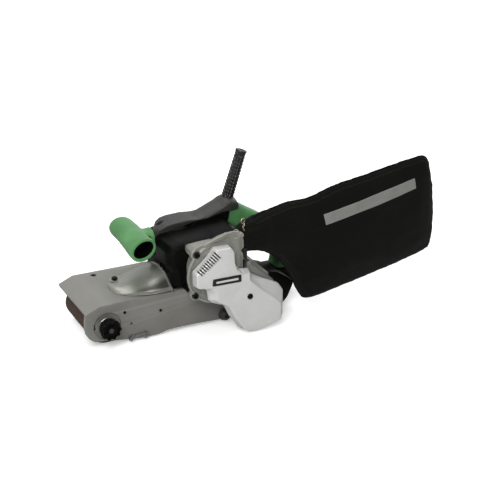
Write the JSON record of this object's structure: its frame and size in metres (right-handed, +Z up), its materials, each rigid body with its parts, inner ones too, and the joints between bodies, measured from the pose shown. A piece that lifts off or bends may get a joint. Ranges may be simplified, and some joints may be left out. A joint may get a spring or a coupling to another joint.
{
  "type": "handheld belt sander",
  "caption": "Handheld belt sander with a wide belt, side toothed-belt drive, cross front grip, rear D grip, tracking knob and cloth dust bag.",
  "frame": {"origin": "centre of the sanding face, on the work plane", "axes": "-X front (tracking knob), +X rear (grip and bag), -Y drive side, +Y open side for belt changes, +Z up"},
  "size_m": [0.5687, 0.1774, 0.243],
  "materials": {
    "cast_frame": "satin cast",
    "cast_hump": "polished cast",
    "cast_fan": "satin cast",
    "cover_silver": "satin painted",
    "black_plastic": "matte",
    "dark_plastic": "satin",
    "green_rubber": "soft matte",
    "black_rubber": "matte",
    "cord": "matte",
    "steel": "ground",
    "dark_screw": "blackened",
    "bearing": "ground",
    "lamination": "varnished",
    "copper": "turned",
    "carbon": "dull",
    "abrasive": "coarse",
    "cork": "matte",
    "roller_alu": "turned",
    "tooth_belt": "matte",
    "bag_cloth": "woven",
    "label": "gloss"
  },
  "bodies": {
    "frame": {"base_frame": "cast_frame", "hump_cover": "cast_hump", "hump_screw": "dark_screw", "deck_screw": "dark_screw", "wall_screw": "dark_screw", "bed_clamp_bolt": "dark_screw", "sanding_belt": "abrasive", "platen_plate": "steel", "platen_pad": "cork", "tension_spring": "steel", "drive_bearing_near": "bearing", "drive_bearing_far": "bearing", "rear_base": "black_plastic", "motor_housing": "black_plastic", "motor_end_cover": "black_plastic", "stator_core": "lamination", "motor_bearing_near": "bearing", "motor_bearing_far": "bearing", "brush_front": "carbon", "brush_rear": "carbon", "brush_cap_front": "black_plastic", "brush_cap_rear": "black_plastic", "fan_housing": "cast_fan", "fan_screw_upper": "dark_screw", "fan_screw_lower": "dark_screw", "drive_case": "cast_frame", "pulley_cover": "cover_silver", "cover_screw": "dark_screw", "label_plate": "label", "toothed_belt": "tooth_belt", "dust_chute": "cast_frame", "top_cover": "dark_plastic", "cord_guard": "black_rubber", "power_cord": "cord", "front_handle_core": "black_plastic", "front_grip": "green_rubber", "rear_handle_core": "black_plastic", "rear_grip": "green_rubber", "switch_body": "black_plastic", "bag_collar": "black_plastic", "dust_bag": "bag_cloth", "bag_clip": "steel"},
    "armature": {"motor_shaft": "steel", "armature_core": "lamination", "commutator": "copper", "dust_fan": "black_plastic", "motor_pulley": "steel"},
    "drive": {"drive_shaft": "steel", "drive_roller": "black_rubber", "driven_pulley": "steel"},
    "carriage": {"idler_carriage": "roller_alu"},
    "yoke": {"idler_yoke": "roller_alu", "idler_shaft": "steel"},
    "idler": {"idler_roller": "roller_alu"},
    "knob": {"tracking_knob": "black_plastic"},
    "latch": {"latch_lever": "steel"},
    "trigger": {"trigger": "black_plastic"},
    "lock": {"lock_button": "black_plastic"},
    "selector": {"speed_selector": "black_plastic"}
  },
  "joints": [
    {"name": "motor_spin", "type": "hinge", "parent": "frame", "child": "armature", "pos_m": [0.042, 0, 0.099], "axis": [0, 1, 0], "continuous": true},
    {"name": "drive_roller_spin", "type": "hinge", "parent": "frame", "child": "drive", "pos_m": [0.11325, 0, 0.026], "axis": [0, 1, 0], "continuous": true},
    {"name": "belt_tension", "type": "slide", "parent": "frame", "child": "carriage", "axis": [1, 0, 0], "range_m": [0, 0.008], "stiffness_N_per_m": 2500, "springref_m": -0.004, "deforming": ["tension_spring"]},
    {"name": "tracking_tilt", "type": "hinge", "parent": "carriage", "child": "yoke", "pos_m": [-0.071, 0, 0.026], "axis": [0, 0, 1], "range_deg": [-1, 1]},
    {"name": "idler_roller_spin", "type": "hinge", "parent": "yoke", "child": "idler", "pos_m": [-0.11325, 0, 0.026], "axis": [0, 1, 0], "continuous": true},
    {"name": "tracking_knob_turn", "type": "hinge", "parent": "frame", "child": "knob", "pos_m": [-0.115, -0.07, 0.033], "axis": [0, 1, 0], "range_deg": [-360, 360]},
    {"name": "latch_turn", "type": "hinge", "parent": "frame", "child": "latch", "pos_m": [-0.058, -0.066, 0.0082], "axis": [0, 1, 0], "range_deg": [0, 25]},
    {"name": "trigger_pull", "type": "slide", "parent": "frame", "child": "trigger", "axis": [0.4848, 0, 0.8746], "range_m": [0, 0.006], "stiffness_N_per_m": 600, "springref_m": -0.002},
    {"name": "lock_press", "type": "slide", "parent": "frame", "child": "lock", "axis": [0, 1, 0], "range_m": [0, 0.0025], "stiffness_N_per_m": 600, "springref_m": -0.002},
    {"name": "speed_select", "type": "slide", "parent": "frame", "child": "selector", "axis": [0, 1, 0], "range_m": [-0.0025, 0.0025]}
  ],
  "couplings": [
    {"joint": "drive_roller_spin", "follows": "motor_spin", "ratio": 0.33333},
    {"joint": "idler_roller_spin", "follows": "motor_spin", "ratio": 0.33333},
    {"joint": "tracking_tilt", "follows": "tracking_knob_turn", "ratio": 0.0025}
  ]
}
